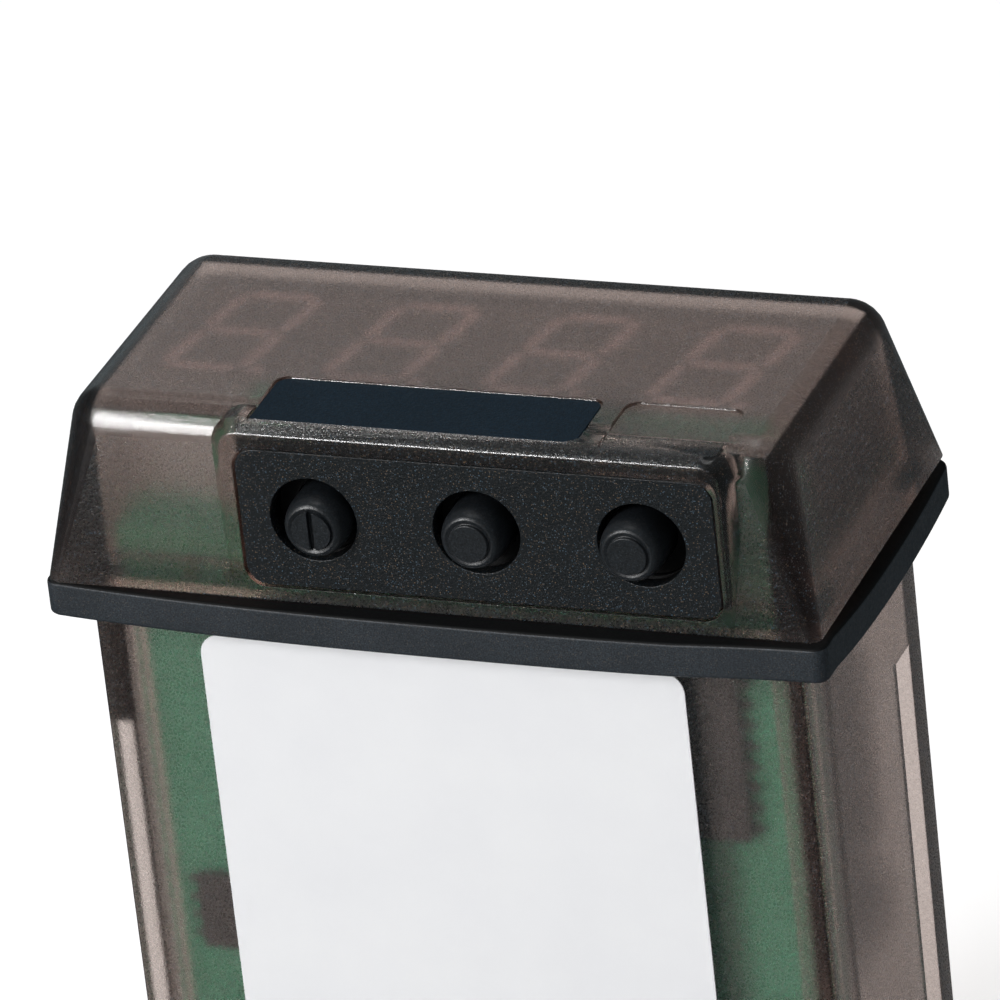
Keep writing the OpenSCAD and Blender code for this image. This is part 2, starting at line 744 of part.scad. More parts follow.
// A wound ferrite core standing on the board: two outer legs, a yoke above and below, and a centre leg
module transformer_core() color([0.13, 0.12, 0.12])
    translate([0, main_y1, transformer_z]) difference() {
        translate([-transformer_w / 2, 1.2, -transformer_l * 0.28])
            cube([transformer_w, transformer_h - 1.2, transformer_l * 0.56]);
        for (s = [-1, 1])
            translate([s * transformer_w * 0.27 - transformer_w * 0.13, 3.2, -transformer_l])
                cube([transformer_w * 0.26, transformer_h - 5.2, transformer_l * 2]);
    }

module transformer_winding() color([0.78, 0.66, 0.2])
    translate([0, main_y1, transformer_z]) difference() {
        union() {
            translate([-transformer_w * 0.4 + 0.05, 3.3, -transformer_l / 2])
                cube([transformer_w * 0.8 - 0.1, transformer_h - 5.4, transformer_l]);
            for (s = [-1, 1])
                translate([-transformer_w * 0.42, 0, s * transformer_l * 0.42 - transformer_l * 0.08])
                    cube([transformer_w * 0.84, 3.3, transformer_l * 0.16]);
        }
        // Room for the centre leg
        translate([-transformer_w * 0.14 - 0.05, 3, -transformer_l * 0.28 - 0.05])
            cube([transformer_w * 0.28 + 0.1, transformer_h - 4.8, transformer_l * 0.56 + 0.1]);
        // Room for the outer legs
        for (s = [-1, 1])
            translate([s * transformer_w * 0.45 - transformer_w * 0.05 - 0.05, 0, -transformer_l * 0.28 - 0.05])
                cube([transformer_w * 0.1 + 0.1, transformer_h, transformer_l * 0.56 + 0.1]);
    }

module filter_capacitors() color([0.15, 0.17, 0.2])
    for (s = [-1, 1])
        translate([s * capacitor_x, main_y1, capacitor_z]) rotate([-90, 0, 0]) {
            cylinder(h = 1.2, d = capacitor_d);
            translate([0, 0, 1.2]) cylinder(h = 0.6, d = capacitor_d - 0.8);
            translate([0, 0, 1.8]) cylinder(h = capacitor_h - 1.8, d = capacitor_d);
        }

module relay(n) color([0.1, 0.1, 0.11])
    translate([n == 1 ? -relay_x : relay_x, main_y1, -relay_start - relay_l / 2]) {
        translate([-relay_w / 2, 0.4, -relay_l / 2]) cube([relay_w, relay_h - 0.4, relay_l]);
        for (sx = [-1, 1], sz = [-1, 1])
            translate([sx * (relay_w / 2 - 0.8) - 0.5, 0, sz * (relay_l / 2 - 0.8) - 0.5]) cube([1, 0.4, 1]);
    }

// ---- Terminals ----

module terminal_block() color([0.2, 0.22, 0.22])
    difference() {
        translate([-block_w / 2, block_y0, block_z0])
            cube([block_w, block_y1 - block_y0, block_l]);
        for (x = pole_x) {
            translate([x - chamber_w / 2, entry_y - 2.2, block_z0 - 1])
                cube([chamber_w, screw_y - entry_y + 4.4, clamp_z + clamp_l + 0.3 - block_z0 + 1]);
            translate([x - 0.55, block_y0 - 1, clamp_z + clamp_l / 2 - 0.55])
                cube([1.1, 3, 1.1]);
        }
    }

// Steel cages with a wire mouth and a tapped hole for the screw
module wire_clamps() color([0.72, 0.72, 0.7])
    for (x = pole_x)
        difference() {
            translate([x - chamber_w / 2 + 0.1, entry_y - 2.1, clamp_z])
                cube([chamber_w - 0.2, screw_y - entry_y + 4.1, clamp_l]);
            translate([x - 1.2, entry_y - 1.5, clamp_z - 1]) cube([2.4, 3.0, clamp_l + 2]);
            translate([x, screw_y, clamp_z - 1]) cylinder(h = clamp_l + 2, d = screw_d + 0.1, $fn = 24);
        }

module clamp_screws() color([0.8, 0.8, 0.8])
    for (x = pole_x)
        translate([x, screw_y, clamp_z]) difference() {
            union() {
                translate([0, 0, -2.0]) cylinder(h = 2.0, d = screw_head_d, $fn = 32);
                cylinder(h = clamp_l, d = screw_d, $fn = 24);
            }
            translate([-screw_head_d, -0.25, -2.5]) cube([2 * screw_head_d, 0.5, 1.3]);
        }

// Tinned pins from the clamps down through the main board
module terminal_pins() color([0.8, 0.8, 0.78])
    for (x = pole_x)
        translate([x - 0.4, main_y0 - 0.7, clamp_z + clamp_l / 2 - 0.4])
            cube([0.8, entry_y - 2.1 - main_y0 + 0.7, 0.8]);

module rear_cover() color([0.08, 0.08, 0.09]) {
    difference() {
        union() {
            translate([0, 0, rear_z - cover_t]) round_plate(body_w, body_h, cover_t, body_r);
            difference() {
                rim_w = in_w - 2 * cover_gap;
                rim_h = in_h - 2 * cover_gap;
                translate([-rim_w / 2, -rim_h / 2, rear_z - 1]) cube([rim_w, rim_h, cover_rim + 1]);
                translate([-block_w / 2 - 0.1, -rim_h / 2 + cover_rim_t, rear_z])
                    cube([block_w + 0.2, rim_h - 2 * cover_rim_t, cover_rim + 1]);
                // The main board's foot passes the rim
                translate([-board_w / 2 - 0.1, main_y0 - 0.8, rear_z])
                    cube([board_w + 0.2, board_t + 0.9, cover_rim + 1]);
            }
            snap_catches();
        }
        for (x = pole_x) {
            translate([x - entry_w / 2, entry_y - entry_h / 2, rear_z - cover_t - 1])
                cube([entry_w, entry_h, cover_t + 2]);
            translate([x, screw_y, rear_z - cover_t - 1]) cylinder(h = cover_t + 2, d = access_d);
        }
    }
}

// Wedge catches that stand off the rim into the windows of the body
module snap_catches() {
    rim_y = in_h / 2 - cover_gap;
    for (sx = [-1, 1], turn = [0, 180])
        rotate([0, 0, turn]) translate([sx * snap_x - snap_w / 2, rim_y - eps, snap_z])
            rotate([90, 0, 90]) linear_extrude(snap_w)
                polygon([[0, 0], [snap_h, 0], [snap_h, 0.5], [0, snap_l]]);
}

case();
panel_gasket();
keypad_plate();
button(1);  // button_1
button(2);  // button_2
button(3);  // button_3
switch_body(1);  // switch_1
switch_body(2);  // switch_2
switch_body(3);  // switch_3
plunger(1);  // plunger_1
plunger(2);  // plunger_2
plunger(3);  // plunger_3
switch_plates();
name_plate();
rating_label();
display_housing();
digit_segments();
display_pins();
display_board();
key_board();
main_board();
link_header();
link_pins();
interface_chip();
processor_chip();
small_chips();
transformer_core();
transformer_winding();
filter_capacitors();
relay(1);  // relay_1
relay(2);  // relay_2
terminal_block();
wire_clamps();
clamp_screws();
terminal_pins();
rear_cover();
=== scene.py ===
import math

import bmesh
import bpy
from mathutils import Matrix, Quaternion, Vector
from mathutils.bvhtree import BVHTree


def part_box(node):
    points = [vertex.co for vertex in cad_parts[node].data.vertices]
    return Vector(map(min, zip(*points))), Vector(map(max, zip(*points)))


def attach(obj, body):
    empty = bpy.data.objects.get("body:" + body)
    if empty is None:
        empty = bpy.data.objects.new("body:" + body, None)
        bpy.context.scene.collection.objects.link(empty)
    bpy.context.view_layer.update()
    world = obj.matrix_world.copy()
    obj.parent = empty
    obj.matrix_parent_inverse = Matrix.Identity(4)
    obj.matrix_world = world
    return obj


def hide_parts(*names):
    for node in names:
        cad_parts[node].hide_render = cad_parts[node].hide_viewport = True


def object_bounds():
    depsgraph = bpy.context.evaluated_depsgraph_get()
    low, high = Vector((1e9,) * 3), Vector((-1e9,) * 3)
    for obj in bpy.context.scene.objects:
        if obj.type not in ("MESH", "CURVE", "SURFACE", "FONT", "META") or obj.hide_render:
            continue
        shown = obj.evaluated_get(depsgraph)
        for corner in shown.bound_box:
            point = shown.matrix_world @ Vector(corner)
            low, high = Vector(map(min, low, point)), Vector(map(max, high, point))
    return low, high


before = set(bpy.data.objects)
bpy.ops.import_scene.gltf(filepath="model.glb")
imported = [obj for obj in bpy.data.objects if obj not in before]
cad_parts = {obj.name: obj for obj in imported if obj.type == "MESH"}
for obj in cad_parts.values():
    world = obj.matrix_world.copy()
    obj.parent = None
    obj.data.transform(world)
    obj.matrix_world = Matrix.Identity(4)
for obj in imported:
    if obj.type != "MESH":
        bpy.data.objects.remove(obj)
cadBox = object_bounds()
mm = 0.001
weldWithin = 1e-7            # m, within which corners of a mesh are one
print("frame loaded")


# Camera, at the height and turn from which the keypad side and the front show together
cameraLook = {
    "stand": (207.05, -493.02, 276.06),   # mm
    "aim": (0.09, 0.51, 0.85),            # mm
    "roll": -6.447,                       # degrees
    "lens": 367.88,
    "sensor": 36,
    "clip": (0.01, 20),                   # m
}


def addCamera(look):
    stand = Vector(look["stand"]) * mm
    aim = Vector(look["aim"]) * mm
    camera = bpy.data.objects.new("meterCamera", bpy.data.cameras.new("meterCamera"))
    camera.data.lens = look["lens"]
    camera.data.sensor_width = look["sensor"]
    camera.data.clip_start, camera.data.clip_end = look["clip"]
    camera.location = stand
    camera.rotation_mode = "QUATERNION"
    roll = Quaternion((0, 0, 1), math.radians(look["roll"]))
    camera.rotation_quaternion = (aim - stand).to_track_quat("-Z", "Y") @ roll
    bpy.context.scene.collection.objects.link(camera)
    bpy.context.scene.camera = camera


addCamera(cameraLook)
print("camera placed")


# Short ways to add and join nodes
def feed(tree, socket, value):
    if isinstance(value, bpy.types.NodeSocket):
        tree.links.new(value, socket)
    else:
        socket.default_value = value


def put(tree, kind, inputs=None, **settings):
    node = tree.nodes.new(kind)
    for name, value in settings.items():
        setattr(node, name, value)
    for name, value in (inputs or {}).items():
        feed(tree, node.inputs[name], value)
    return node


def calculate(tree, operation, a, b=0.0, clamp=False):
    return put(tree, "ShaderNodeMath", {0: a, 1: b}, operation=operation, use_clamp=clamp).outputs[0]


def spread(tree, value, low, high, toLow=0.0, toHigh=1.0):
    inputs = {"Value": value, "From Min": low, "From Max": high, "To Min": toLow, "To Max": toHigh}
    return put(tree, "ShaderNodeMapRange", inputs).outputs[0]


def blendColours(tree, share, first, second):
    node = put(tree, "ShaderNodeMix", {0: share}, data_type="RGBA")
    for index, colour in ((6, first), (7, second)):
        feed(tree, node.inputs[index], (*colour, 1) if isinstance(colour, tuple) else colour)
    return node.outputs[2]


def newGroup(name, inputs, outputs):
    tree = bpy.data.node_groups.new(name, "ShaderNodeTree")
    for label, value in inputs.items():
        socket = tree.interface.new_socket(label, in_out="INPUT", socket_type="NodeSocketFloat")
        socket.default_value = value
    for label in outputs:
        tree.interface.new_socket(label, in_out="OUTPUT", socket_type="NodeSocketFloat")
    return tree, tree.nodes.new("NodeGroupInput").outputs, tree.nodes.new("NodeGroupOutput").inputs


def place(tree, group, **values):
    node = tree.nodes.new("ShaderNodeGroup")
    node.node_tree = group
    for name, value in values.items():
        feed(tree, node.inputs[name], value)
    return node.outputs


def objectPoint(tree):
    return tree.nodes.new("ShaderNodeTexCoord").outputs["Object"]


def newMaterial(name, **sockets):
    material = bpy.data.materials.new(name)
    material.use_nodes = True
    tree = material.node_tree
    shader = tree.nodes["Principled BSDF"]
    for label, value in sockets.items():
        shader.inputs[label.replace("_", " ")].default_value = value
    return material, tree, shader


# Studio: a white floor and surround, a softbox low at the front left and one overhead.
# Dark flags stand round the part, out of the camera's sight, and keep its blacks black.
studioLook = {
    "worldLight": 0.34,
    "floorShade": 0.86,
    "floorLift": 0.5,
    "floorDrop": 0.05,       # mm below the part
    "floorSize": 6.0,        # m
    "lamps": {
        "keySoftbox": {"toward": (-0.44, -0.785, 0.43), "reach": 0.75, "size": (0.16, 0.36), "power": 3.9},
        "topSoftbox": {"toward": (-0.1, 0.15, 0.97), "reach": 0.9, "size": (0.4, 0.4), "power": 0.8},
    },
    "highlights": {
        "keyCard": {"toward": (-0.44, -0.785, 0.43), "reach": 0.72, "size": (0.15, 0.5), "glow": 19.0,
                    "tint": (1.0, 1.0, 1.0)},
        "lowCard": {"toward": (-0.42, -0.9, 0.13), "reach": 0.8, "size": (0.24, 0.34), "glow": 2.0,
                    "tint": (1.0, 0.95, 0.93)},
    },
    "flagReach": 1.1,        # m
    "flagTint": (0.86, 1.0, 1.06),
    "flags": {
        "frontFlag": {"axis": 1, "side": -1, "glow": 0.05},
        "backLeftFlag": {"axis": 1, "side": 1, "glow": 0.34, "span": (-1, -0.4)},
        "backRightFlag": {"axis": 1, "side": 1, "glow": 0.08, "span": (-0.4, 1)},
        "leftFlag": {"axis": 0, "side": -1, "glow": 0.12},
        "rightFlag": {"axis": 0, "side": 1, "glow": 0.12},
        "topFlag": {"axis": 2, "side": 1, "glow": 0.2},
        "floorFlag": {"axis": 2, "side": -1, "glow": 0.13},
    },
}


def addSheet(name, corners):
    # Four corners and an empty material, for the floor and the cards
    mesh = bpy.data.meshes.new(name)
    mesh.from_pydata(corners, [], [(0, 1, 2, 3)])
    sheet = bpy.data.objects.new(name, mesh)
    bpy.context.scene.collection.objects.link(sheet)
    material = bpy.data.materials.new(name)
    material.use_nodes = True
    material.node_tree.nodes.clear()
    mesh.materials.append(material)
    return sheet, material.node_tree


def seenRays(tree):
    # 1 for what the camera sees, straight or by way of gloss and glass
    path = tree.nodes.new("ShaderNodeLightPath").outputs
    seen = calculate(tree, "MAXIMUM", path["Is Camera Ray"], path["Is Transmission Ray"])
    return calculate(tree, "MAXIMUM", seen, path["Is Glossy Ray"])


def addWorld(look):
    world = bpy.data.worlds.new("studioSurround")
    world.use_nodes = True
    tree = world.node_tree
    strength = spread(tree, seenRays(tree), 0, 1, look["worldLight"], 1.0)
    background = tree.nodes["Background"]
    background.inputs["Color"].default_value = (1, 1, 1, 1)
    tree.links.new(strength, background.inputs["Strength"])
    bpy.context.scene.world = world


def addLamp(name, look):
    toward = Vector(look["toward"]).normalized()
    lamp = bpy.data.lights.new(name, "AREA")
    lamp.shape = "RECTANGLE"
    lamp.size, lamp.size_y = look["size"]
    lamp.energy = look["power"]
    holder = bpy.data.objects.new(name, lamp)
    holder.location = toward * look["reach"]
    holder.rotation_mode = "QUATERNION"
    holder.rotation_quaternion = toward.to_track_quat("Z", "Y")
    bpy.context.scene.collection.objects.link(holder)


def addFloor(look):
    half = look["floorSize"] / 2
    drop = cadBox[0].z - look["floorDrop"] * mm
    corners = [(-half, -half, drop), (half, -half, drop), (half, half, drop), (-half, half, drop)]
    tree = addSheet("studioFloor", corners)[1]
    seen = seenRays(tree)
    shade = look["floorShade"]
    paint = put(tree, "ShaderNodeBsdfDiffuse", {"Color": (shade, shade, shade, 1)})
    lift = put(tree, "ShaderNodeEmission", {"Strength": calculate(tree, "MULTIPLY", seen, look["floorLift"])})
    both = put(tree, "ShaderNodeAddShader", {0: paint.outputs[0], 1: lift.outputs[0]})
    put(tree, "ShaderNodeOutputMaterial", {"Surface": both.outputs[0]})


def flagCorners(look, reach, lowest):
    side, axis = look["side"], look["axis"]
    others = [i for i in range(3) if i != axis]
    corners = []
    low, high = look.get("span", (-1, 1))
    for a, b in ((low, -1), (high, -1), (high, 1), (low, 1)):
        corner = [0.0, 0.0, 0.0]
        corner[axis] = lowest if axis == 2 and side < 0 else side * reach
        corner[others[0]], corner[others[1]] = a * reach, b * reach
        corners.append(corner)
    return corners


def highlightCorners(look):
    toward = Vector(look["toward"]).normalized()
    across = Vector((0, 0, 1)).cross(toward).normalized() * look["size"][0] / 2
    up = toward.cross(across).normalized() * look["size"][1] / 2
    return [toward * look["reach"] + across * a + up * b for a, b in ((-1, -1), (1, -1), (1, 1), (-1, 1))]


def addCard(name, corners, look, tint):
    # A card that only reflections see
    card, tree = addSheet(name, corners)
    glow = put(tree, "ShaderNodeEmission", {"Color": (*tint, 1), "Strength": look["glow"]})
    put(tree, "ShaderNodeOutputMaterial", {"Surface": glow.outputs[0]})
    card.visible_camera = False
    card.visible_diffuse = False
    card.visible_transmission = False
    card.visible_shadow = False
    card.visible_volume_scatter = False


addWorld(studioLook)
for lampName, lampLook in studioLook["lamps"].items():
    addLamp(lampName, lampLook)
addFloor(studioLook)
cardHeight = cadBox[0].z - studioLook["floorDrop"] * mm / 2      # just above the floor
for flagName, flagLook in studioLook["flags"].items():
    flagSpots = flagCorners(flagLook, studioLook["flagReach"], cardHeight)
    addCard(flagName, flagSpots, flagLook, studioLook["flagTint"])
for cardName, cardLook in studioLook["highlights"].items():
    addCard(cardName, highlightCorners(cardLook), cardLook, cardLook["tint"])
bpy.context.scene.view_settings.view_transform = "Standard"
print("studio lit")


# Effects that several finishes share
grainLook = {
    "finer": 2.3,            # how much finer the second pebble is
    "coarseShare": 0.65,
    "fineShare": 0.35,
    "range": (0.3, 0.7),     # of the noise, spread over 0 to 1
    "cloudScale": 220.0,
}
speckleLook = {
    "fade": (0.15, 0.55),    # from the middle of a point to its rim
    "range": (0.28, 0.72),
}


def noise(tree, point, scale, detail):
    return put(tree, "ShaderNodeTexNoise", {"Vector": point, "Scale": scale, "Detail": detail}).outputs[0]


def buildMouldGrain(look):
    # Spark-eroded mould texture: a fine pebble with a finer one on it. Size is in mm.
    tree, given, out = newGroup("mouldGrain", {"Size": 0.2}, ("Height", "Cloud"))
    point = objectPoint(tree)
    scale = calculate(tree, "DIVIDE", 1000.0, given["Size"])
    coarse = noise(tree, point, scale, 1.0)
    fine = noise(tree, point, calculate(tree, "MULTIPLY", scale, look["finer"]), 0.0)
    both = calculate(tree, "ADD", calculate(tree, "MULTIPLY", coarse, look["coarseShare"]),
                     calculate(tree, "MULTIPLY", fine, look["fineShare"]))
    tree.links.new(spread(tree, both, *look["range"]), out["Height"])
    wide = noise(tree, point, look["cloudScale"], 2.0)
    tree.links.new(spread(tree, wide, *look["range"]), out["Cloud"])
    return tree


def buildGrainAndPaintedGlints(look):
    # Painted glints for the tiny bright spots of the eroded surface that catch the light: a mask of sparse
    # points, a soft light and dark grain, and how warm or cool each painted glint is. Size is in mm.
    tree, given, out = newGroup("grainAndPaintedGlints", {"Size": 0.08, "Share": 0.2}, ("Point", "Light", "Warm"))
    point = objectPoint(tree)
    scale = calculate(tree, "DIVIDE", 1000.0, given["Size"])
    cells = put(tree, "ShaderNodeTexVoronoi", {"Vector": point, "Scale": scale})
    parts = put(tree, "ShaderNodeSeparateColor", {"Color": cells.outputs["Color"]}).outputs
    chance = calculate(tree, "GREATER_THAN", parts[0], calculate(tree, "SUBTRACT", 1.0, given["Share"]))
    fade = spread(tree, cells.outputs["Distance"], *look["fade"], 1.0, 0.0)
    strength = calculate(tree, "MULTIPLY", calculate(tree, "MULTIPLY", chance, fade), parts[2])
    tree.links.new(strength, out["Point"])
    tree.links.new(parts[1], out["Warm"])
    tree.links.new(spread(tree, noise(tree, point, scale, 0.0), *look["range"]), out["Light"])
    return tree


mouldGrain = buildMouldGrain(grainLook)
grainAndPaintedGlints = buildGrainAndPaintedGlints(speckleLook)


# Finishes
# Painted glints for black plastics: bright warm or cool points mixed into the colour, over a light and dark
# grain
paintedSparkleLook = {
    "size": 0.085,           # mm
    "share": 0.36,
    "warm": (0.3, 0.19, 0.1),
    "cool": (0.12, 0.22, 0.32),
    "pit": 0.35,             # how dark the grain's pits are, against the colour
    "pitShare": 0.9,
}
metalLook = {
    "smoothest": 0.8,        # against the metal's own roughness
    "roughest": 1.3,
    "depth": 2e-6,           # m
}


def addBump(tree, shader, height, depth):
    bump = put(tree, "ShaderNodeBump", {"Height": height, "Distance": depth, "Strength": 1.0})
    tree.links.new(bump.outputs[0], shader.inputs["Normal"])


def plastic(name, colour, shade, roughness, grain=0.25, depth=6e-6, paintedSparkle=0.0, roughRange=0.12,
            **sockets):
    # Grain is in mm, depth in m
    material, tree, shader = newMaterial(name, **sockets)
    effect = place(tree, mouldGrain, Size=grain)
    tint = blendColours(tree, effect["Cloud"], colour, shade)
    # Painted glints: sparse warm or cool points mixed into the colour, standing in for light caught on the
    # grain
    if paintedSparkle:
        look = paintedSparkleLook
        grainAndGlints = place(tree, grainAndPaintedGlints, Size=look["size"], Share=look["share"])
        dark = tuple(look["pit"] * c for c in colour)
        pits = spread(tree, grainAndGlints["Light"], 0, 1, look["pitShare"], 0.0)
        tint = blendColours(tree, pits, tint, dark)
        lit = blendColours(tree, grainAndGlints["Warm"], look["cool"], look["warm"])
        tint = blendColours(tree, calculate(tree, "MULTIPLY", grainAndGlints["Point"], paintedSparkle), tint, lit)
    tree.links.new(tint, shader.inputs["Base Color"])
    rough = spread(tree, effect["Height"], 0, 1, roughness - roughRange / 2, roughness + roughRange / 2)
    tree.links.new(rough, shader.inputs["Roughness"])
    addBump(tree, shader, effect["Height"], depth)
    return material


def metal(name, colour, shade, roughness, grain=0.3):
    material, tree, shader = newMaterial(name, Metallic=1.0)
    effect = place(tree, mouldGrain, Size=grain)
    tree.links.new(blendColours(tree, effect["Cloud"], colour, shade), shader.inputs["Base Color"])
    smoothest, roughest = roughness * metalLook["smoothest"], roughness * metalLook["roughest"]
    rough = spread(tree, effect["Cloud"], 0, 1, smoothest, roughest)
    tree.links.new(rough, shader.inputs["Roughness"])
    addBump(tree, shader, effect["Height"], metalLook["depth"])
    return material


smokedLook = {
    "tint": (0.98, 0.98, 0.98),
    "tintDark": (0.7, 0.7, 0.7),
    # The warm and cool tints colour lighter points in the tint that are painted glints; glint sets how
    # brightly the same points glow as emission
    "warmTint": (1.0, 0.96, 0.88),
    "coolTint": (0.9, 0.97, 1.0),
    "speckle": 0.1,                  # mm
    "speckleShare": 0.3,
    "glint": 0.55,
    "absorb": (0.41, 0.235, 0.155),  # what the plastic keeps of white light, against density
    "density": 365.0,
    "outerRoughness": 0.285,
    "innerRoughness": 0.16,
    "roughRange": 0.12,
    "refraction": 1.58,
    "grain": 0.13,                   # mm
    "depth": 12e-6,                  # m
    "lampsThrough": (0.93, 0.93, 0.93),
}


def smokedPlastic(look):
    material, tree, shader = newMaterial("smokedCase", Transmission_Weight=1.0, IOR=look["refraction"])
    effect = place(tree, mouldGrain, Size=look["grain"])
    outer = put(tree, "ShaderNodeAttribute", attribute_name="mouldedFace").outputs["Fac"]
    half = look["roughRange"] / 2
    rough = spread(tree, effect["Height"], 0, 1, look["outerRoughness"] - half, look["outerRoughness"] + half)
    rough = spread(tree, outer, 0, 1, look["innerRoughness"], rough)
    tree.links.new(rough, shader.inputs["Roughness"])
    # Grain in the tint, with lighter warm or cool points as painted glints
    grainAndGlints = place(tree, grainAndPaintedGlints, Size=look["speckle"], Share=look["speckleShare"])
    grainy = blendColours(tree, grainAndGlints["Light"], look["tintDark"], look["tint"])
    lit = blendColours(tree, grainAndGlints["Warm"], look["coolTint"], look["warmTint"])
    grainy = blendColours(tree, grainAndGlints["Point"], grainy, lit)
    grainy = blendColours(tree, outer, look["tint"], grainy)
    tree.links.new(grainy, shader.inputs["Base Color"])
    # Painted glints that glow: the same points as emission on the outer faces, though the case is no lamp
    glowingGlintColour = blendColours(tree, grainAndGlints["Warm"], paintedSparkleLook["cool"], paintedSparkleLook["warm"])
    outerGlint = calculate(tree, "MULTIPLY", outer, look["glint"])
    glowingGlintShare = calculate(tree, "MULTIPLY", grainAndGlints["Point"], outerGlint)
    tree.links.new(blendColours(tree, glowingGlintShare, (0.0, 0.0, 0.0), glowingGlintColour), shader.inputs["Emission Color"])
    shader.inputs["Emission Strength"].default_value = 1.0
    addBump(tree, shader, calculate(tree, "MULTIPLY", effect["Height"], outer), look["depth"])
    # Lamps reach what is inside
    lampRay = tree.nodes.new("ShaderNodeLightPath").outputs["Is Shadow Ray"]
    clear = put(tree, "ShaderNodeBsdfTransparent", {"Color": (*look["lampsThrough"], 1)})
    both = put(tree, "ShaderNodeMixShader", {0: lampRay, 1: shader.outputs[0], 2: clear.outputs[0]})
    smoke = put(tree, "ShaderNodeVolumeAbsorption", {"Density": look["density"]})
    smoke.inputs["Color"].default_value = (*look["absorb"], 1)
    output = tree.nodes["Material Output"]
    tree.links.new(both.outputs[0], output.inputs["Surface"])
    tree.links.new(smoke.outputs[0], output.inputs["Volume"])
    return material


finishes = {
    "smokedCase": smokedPlastic(smokedLook),
    # A finish's glint amount mixes painted glints into its colour
    "gasketRubber": plastic("gasketRubber", (0.018, 0.025, 0.033), (0.026, 0.035, 0.045), 0.55, 0.3, 9e-6,
                            paintedSparkle=0.24, Specular_IOR_Level=0.3),
    "keypadBlack": plastic("keypadBlack", (0.003, 0.006, 0.008), (0.0045, 0.008, 0.0105), 0.44, 0.14, 14e-6,
                           paintedSparkle=0.6, Specular_IOR_Level=0.3),
    "buttonBlack": plastic("buttonBlack", (0.01, 0.013, 0.016), (0.013, 0.016, 0.02), 0.36, 0.2, 6e-6,
                           paintedSparkle=0.12, Specular_IOR_Level=0.4),
    "switchBlack": plastic("switchBlack", (0.015, 0.016, 0.017), (0.022, 0.022, 0.024), 0.45),
    "plungerRed": plastic("plungerRed", (0.3, 0.03, 0.025), (0.36, 0.05, 0.04), 0.4),
    "platedSteel": metal("platedSteel", (0.7, 0.7, 0.68), (0.6, 0.6, 0.58), 0.3),
    "nameBlue": plastic("nameBlue", (0.004, 0.018, 0.034), (0.006, 0.022, 0.041), 0.55, 0.2, 14e-6,
                        paintedSparkle=0.06, Specular_IOR_Level=0.2),
    # Black painted as shade, in the keypad's wells and on the gasket's top
    "paintedShadeBlack": plastic("paintedShadeBlack", (0.003, 0.0035, 0.004), (0.004, 0.0045, 0.005), 0.6, 0.3, 4e-6,
                         Specular_IOR_Level=0.12),
    "paperWhite": plastic("paperWhite", (0.81, 0.815, 0.83), (0.79, 0.795, 0.815), 0.5, 0.12, 1.5e-6),
    "displayGrey": plastic("displayGrey", (0.23, 0.23, 0.232), (0.25, 0.25, 0.252), 0.5, 0.2, 2e-6),
    "segmentPale": plastic("segmentPale", (0.58, 0.5, 0.5), (0.61, 0.52, 0.52), 0.35, 0.2, 1e-6),
    "tinnedPins": metal("tinnedPins", (0.72, 0.72, 0.7), (0.62, 0.62, 0.6), 0.25),
    "boardGreen": plastic("boardGreen", (0.045, 0.22, 0.135), (0.06, 0.255, 0.165), 0.35, 0.4, 3e-6),
    "goldPins": metal("goldPins", (0.85, 0.62, 0.25), (0.75, 0.52, 0.2), 0.22),
    "chipBlack": plastic("chipBlack", (0.015, 0.016, 0.018), (0.02, 0.021, 0.023), 0.5),
    "ferrite": plastic("ferrite", (0.05, 0.046, 0.045), (0.07, 0.06, 0.058), 0.5),
    "windingTape": plastic("windingTape", (0.6, 0.42, 0.05), (0.5, 0.34, 0.04), 0.25, 0.5, 2e-6),
    "capacitorSleeve": plastic("capacitorSleeve", (0.02, 0.022, 0.035), (0.03, 0.033, 0.045), 0.25),
    "relayBlack": plastic("relayBlack", (0.016, 0.016, 0.018), (0.022, 0.022, 0.024), 0.4),
    "blockGrey": plastic("blockGrey", (0.09, 0.11, 0.105), (0.1, 0.125, 0.12), 0.5),
    "screwSteel": metal("screwSteel", (0.68, 0.68, 0.66), (0.55, 0.55, 0.54), 0.3),
    "coverBlack": plastic("coverBlack", (0.016, 0.017, 0.018), (0.022, 0.023, 0.025), 0.45, 0.3, 8e-6),
}
wornBy = {
    "smokedCase": ["case"],
    "gasketRubber": ["panel_gasket"],
    "keypadBlack": ["keypad_plate"],
    "buttonBlack": ["button_1", "button_2", "button_3"],
    "switchBlack": ["switch_1", "switch_2", "switch_3"],
    "plungerRed": ["plunger_1", "plunger_2", "plunger_3"],
    "platedSteel": ["switch_plates", "wire_clamps"],
    "nameBlue": ["name_plate"],
    "paperWhite": ["rating_label"],
    "displayGrey": ["display_housing"],
    "segmentPale": ["digit_segments"],
    "tinnedPins": ["display_pins", "terminal_pins"],
    "boardGreen": ["display_board", "key_board", "main_board"],
    "goldPins": ["link_pins"],
    "chipBlack": ["interface_chip", "processor_chip", "small_chips", "link_header"],
    "ferrite": ["transformer_core"],
    "windingTape": ["transformer_winding"],
    "capacitorSleeve": ["filter_capacitors"],
    "relayBlack": ["relay_1", "relay_2"],
    "blockGrey": ["terminal_block"],
    "screwSteel": ["clamp_screws"],
    "coverBlack": ["rear_cover"],
}
for finish, nodeNames in wornBy.items():
    for nodeName in nodeNames:
        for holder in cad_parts[nodeName].material_slots:
            holder.material = finishes[finish]
print("finishes mixed")


